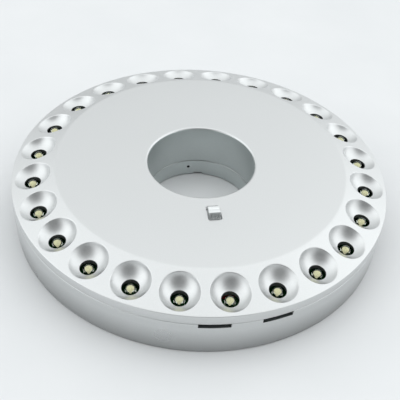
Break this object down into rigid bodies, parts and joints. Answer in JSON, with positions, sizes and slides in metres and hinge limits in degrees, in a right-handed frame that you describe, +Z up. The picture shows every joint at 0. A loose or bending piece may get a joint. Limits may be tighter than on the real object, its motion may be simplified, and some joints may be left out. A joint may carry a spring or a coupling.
{
  "type": "camping tent lamp",
  "caption": "Disc-shaped camping lamp with diodes in wells round its rim, a pole bore, a slide switch, battery doors and folding hanging hooks.",
  "frame": {"origin": "centre of the flat underside, on the pole bore's axis", "axes": "+Z up along the bore, -Y towards the switch, +X to the right of the switch"},
  "size_m": [0.19, 0.19, 0.0345],
  "materials": {
    "silver_plastic": "satin silver paint on moulded plastic",
    "black_plastic": "fine matte moulding",
    "clear_epoxy": "clear cast epoxy",
    "phosphor": "yellow phosphor",
    "steel": "zinc plated",
    "nickel": "nickel plated strip",
    "board": "green solder mask on glass laminate",
    "ceramic": "printed ceramic chip",
    "cell_wrap": "plain shrink wrap on a steel can",
    "wire": "soft wire cover"
  },
  "bodies": {
    "housing": {"top_shell": "silver_plastic", "bottom_shell": "silver_plastic", "housing_screws": "steel", "ring_board": "board", "led_chips": "phosphor", "led_lenses": "clear_epoxy", "ring_resistors": "ceramic", "switch_body": "black_plastic", "switch_board": "board", "switch_pins": "nickel", "bay_leads": "wire", "ribbon_cable": "wire", "cell_right_inner": "cell_wrap", "cell_right_outer": "cell_wrap", "link_strip_right": "nickel", "negative_leaf_right": "nickel", "positive_plate_right": "nickel", "cell_left_inner": "cell_wrap", "cell_left_outer": "cell_wrap", "link_strip_left": "nickel", "negative_leaf_left": "nickel", "positive_plate_left": "nickel", "hook_pin_front": "steel", "hook_pin_back": "steel"},
    "switch": {"switch_knob": "silver_plastic", "switch_slider": "silver_plastic"},
    "right_door": {"battery_door_right": "silver_plastic"},
    "left_door": {"battery_door_left": "silver_plastic"},
    "front_hook": {"hook_front": "silver_plastic"},
    "back_hook": {"hook_back": "silver_plastic"}
  },
  "joints": [
    {"name": "switch_slide", "type": "slide", "parent": "housing", "child": "switch", "axis": [0, 1, 0], "range_m": [-0.002, 0.002]},
    {"name": "right_door_hinge", "type": "hinge", "parent": "housing", "child": "right_door", "pos_m": [0.034, 0, 0.0018], "axis": [0, 1, 0], "range_deg": [0, 95]},
    {"name": "left_door_hinge", "type": "hinge", "parent": "housing", "child": "left_door", "pos_m": [-0.034, 0, 0.0018], "axis": [0, -1, 0], "range_deg": [0, 95]},
    {"name": "front_hook_hinge", "type": "hinge", "parent": "housing", "child": "front_hook", "pos_m": [0, -0.071, 0.003], "axis": [-1, 0, 0], "range_deg": [0, 90]},
    {"name": "back_hook_hinge", "type": "hinge", "parent": "housing", "child": "back_hook", "pos_m": [0, 0.071, 0.003], "axis": [1, 0, 0], "range_deg": [0, 90]}
  ]
}
